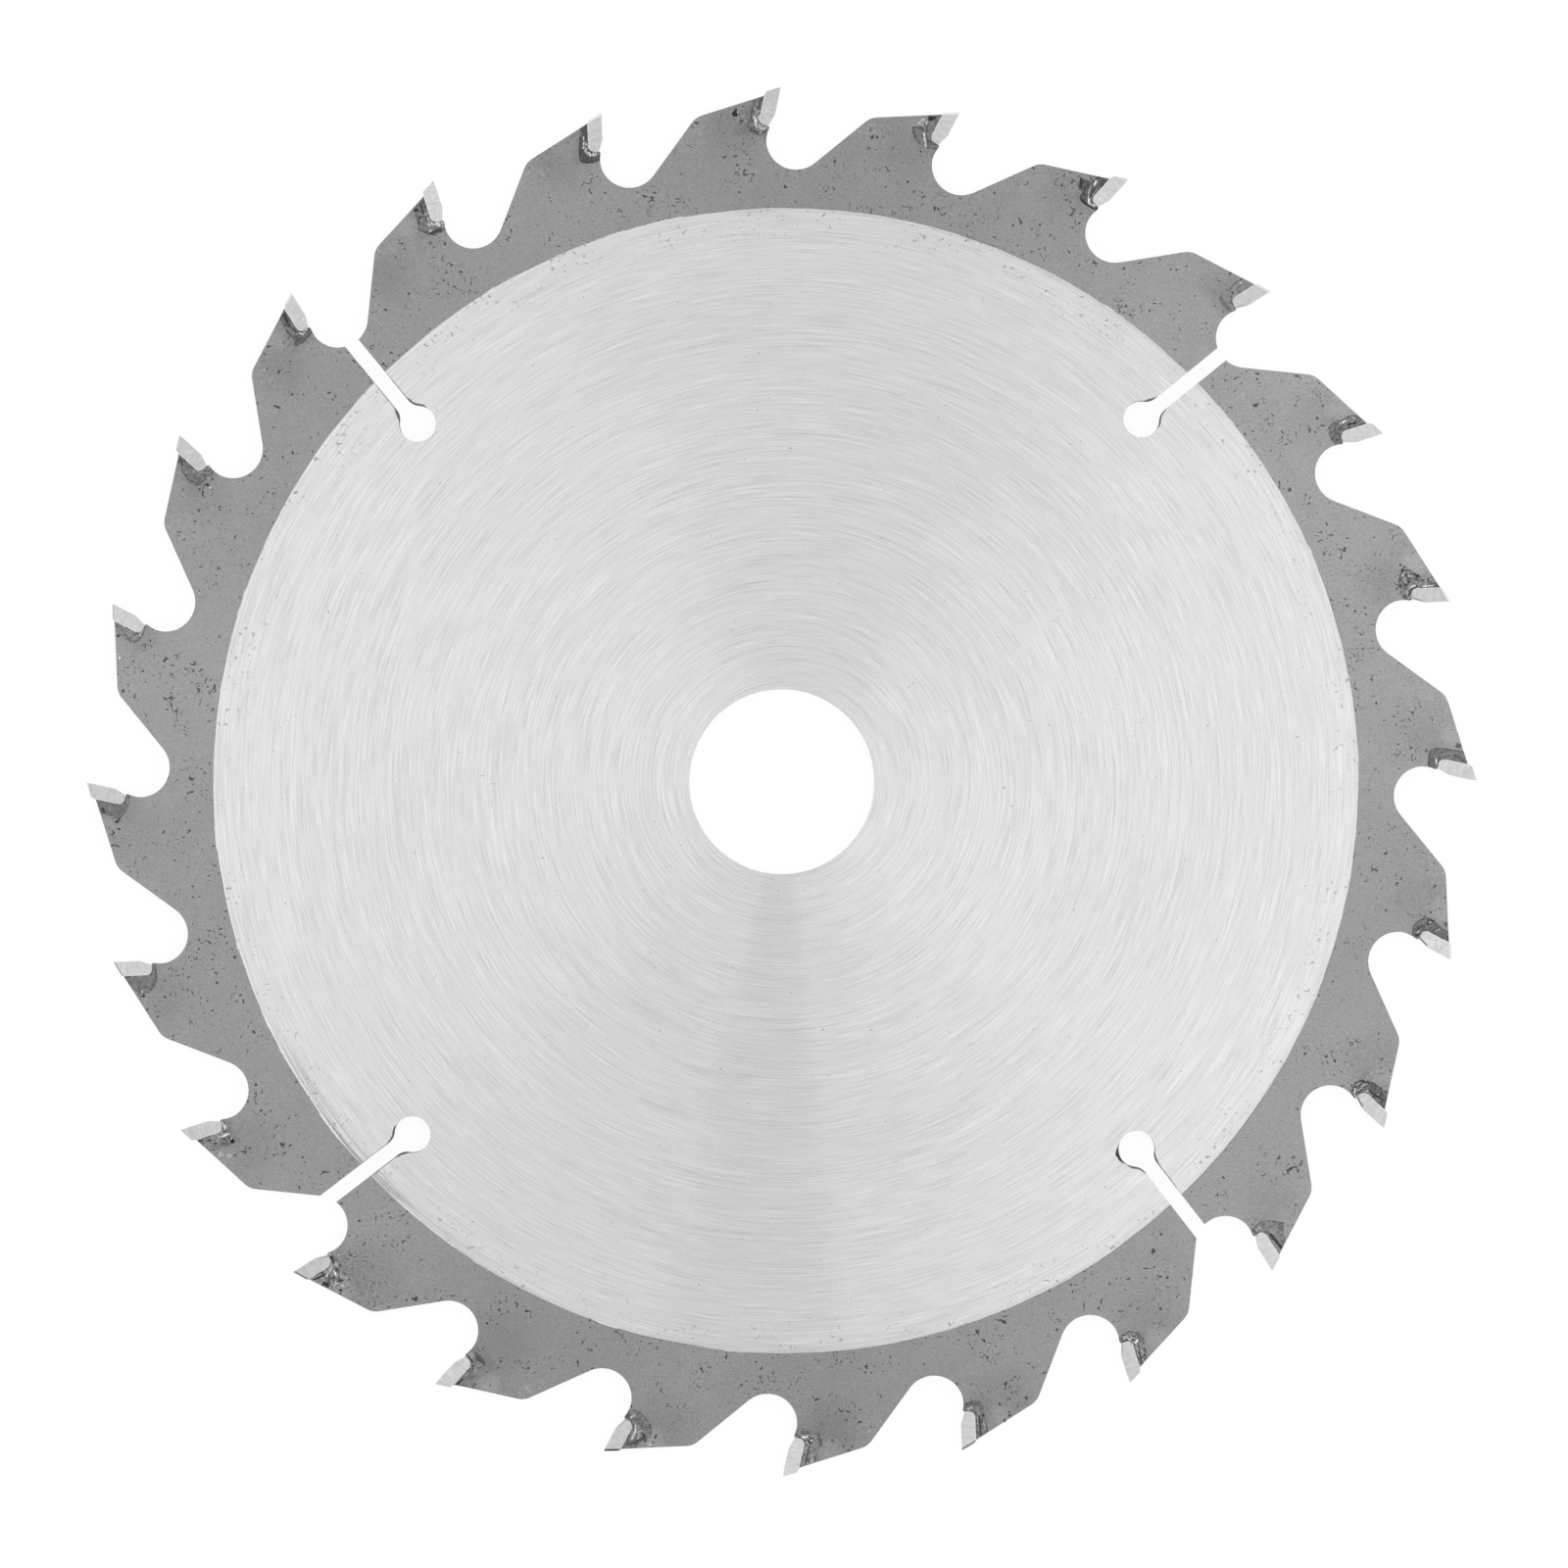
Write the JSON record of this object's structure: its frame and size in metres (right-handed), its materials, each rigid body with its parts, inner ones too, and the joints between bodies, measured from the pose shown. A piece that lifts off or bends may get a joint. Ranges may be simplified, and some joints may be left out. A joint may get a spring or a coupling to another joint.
{
  "type": "circular saw blade",
  "caption": "Round steel saw blade with carbide-tipped teeth, expansion slots and a central arbor bore, for cutting wood on a circular, mitre or table saw.",
  "frame": {"origin": "centre of the arbor bore, halfway through the thickness of the plate", "axes": "+Z along the arbor, out of the front face; +Y through the tip of the first tooth; +X to the right as the front is seen, and the blade cuts clockwise seen from +Z"},
  "size_m": [0.19, 0.19, 0.0024],
  "materials": {
    "plate_steel": "hardened tool steel: a bright disc ground in fine circles inside a matte, slightly pitted, blasted rim",
    "carbide": "tungsten carbide, finely ground on every cutting face",
    "braze": "silver brazing alloy, lumpy and darkened by heat, with bright spots"
  },
  "bodies": {
    "root": {"saw_plate": "plate_steel", "carbide_tip_01": "carbide", "carbide_tip_02": "carbide", "carbide_tip_03": "carbide", "carbide_tip_04": "carbide", "carbide_tip_05": "carbide", "carbide_tip_06": "carbide", "carbide_tip_07": "carbide", "carbide_tip_08": "carbide", "carbide_tip_09": "carbide", "carbide_tip_10": "carbide", "carbide_tip_11": "carbide", "carbide_tip_12": "carbide", "carbide_tip_13": "carbide", "carbide_tip_14": "carbide", "carbide_tip_15": "carbide", "carbide_tip_16": "carbide", "carbide_tip_17": "carbide", "carbide_tip_18": "carbide", "carbide_tip_19": "carbide", "carbide_tip_20": "carbide", "carbide_tip_21": "carbide", "carbide_tip_22": "carbide", "carbide_tip_23": "carbide", "carbide_tip_24": "carbide", "braze_joint_01": "braze", "braze_joint_02": "braze", "braze_joint_03": "braze", "braze_joint_04": "braze", "braze_joint_05": "braze", "braze_joint_06": "braze", "braze_joint_07": "braze", "braze_joint_08": "braze", "braze_joint_09": "braze", "braze_joint_10": "braze", "braze_joint_11": "braze", "braze_joint_12": "braze", "braze_joint_13": "braze", "braze_joint_14": "braze", "braze_joint_15": "braze", "braze_joint_16": "braze", "braze_joint_17": "braze", "braze_joint_18": "braze", "braze_joint_19": "braze", "braze_joint_20": "braze", "braze_joint_21": "braze", "braze_joint_22": "braze", "braze_joint_23": "braze", "braze_joint_24": "braze"}
  },
  "joints": []
}
